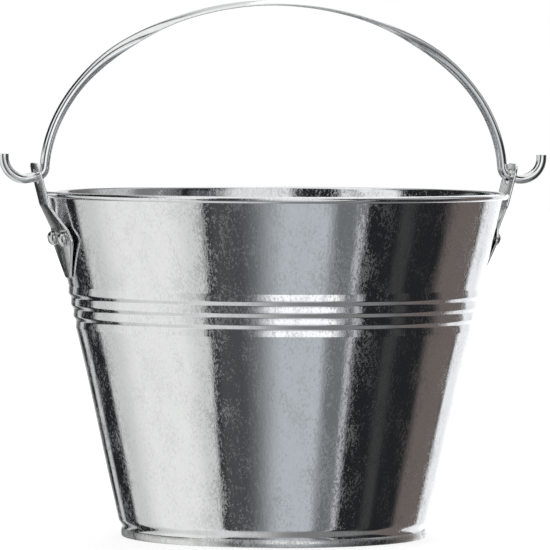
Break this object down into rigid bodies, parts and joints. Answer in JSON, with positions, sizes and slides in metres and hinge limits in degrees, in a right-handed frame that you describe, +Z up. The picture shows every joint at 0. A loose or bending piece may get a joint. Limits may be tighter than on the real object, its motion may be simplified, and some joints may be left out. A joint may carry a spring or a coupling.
{
  "type": "florist bucket",
  "caption": "Tapered galvanised steel bucket with a rolled rim, swaged beads, riveted ears and a swinging bail handle.",
  "frame": {"origin": "centre of the plane that the foot ring stands on", "axes": "+Z up along the bucket's axis; +X towards the right ear, along the bail's pivot line; +Y towards the back, where the lock seam is"},
  "size_m": [0.2864, 0.2374, 0.2729],
  "materials": {
    "galvanised_sheet": "bright galvanised sheet, mirror-like with a fine mottled zinc spangle",
    "galvanised_plate": "dull galvanised stamping, satin grey zinc",
    "rivet_steel": "zinc-plated rivet, satin",
    "bail_steel": "galvanised folded strip, satin with fine lengthwise marks",
    "wire_steel": "plain drawn wire, hidden in the rim"
  },
  "bodies": {
    "bucket": {"body_shell": "galvanised_sheet", "base_disc": "galvanised_sheet", "rim_wire": "wire_steel", "left_ear": "galvanised_plate", "right_ear": "galvanised_plate", "left_ear_front_rivet": "rivet_steel", "left_ear_rear_rivet": "rivet_steel", "right_ear_front_rivet": "rivet_steel", "right_ear_rear_rivet": "rivet_steel"},
    "bail": {"bail": "bail_steel"}
  },
  "joints": [
    {"name": "bail_pivot", "type": "hinge", "parent": "bucket", "child": "bail", "pos_m": [0, 0, 0.1831], "axis": [1, 0, 0], "range_deg": [-97, 97]}
  ]
}
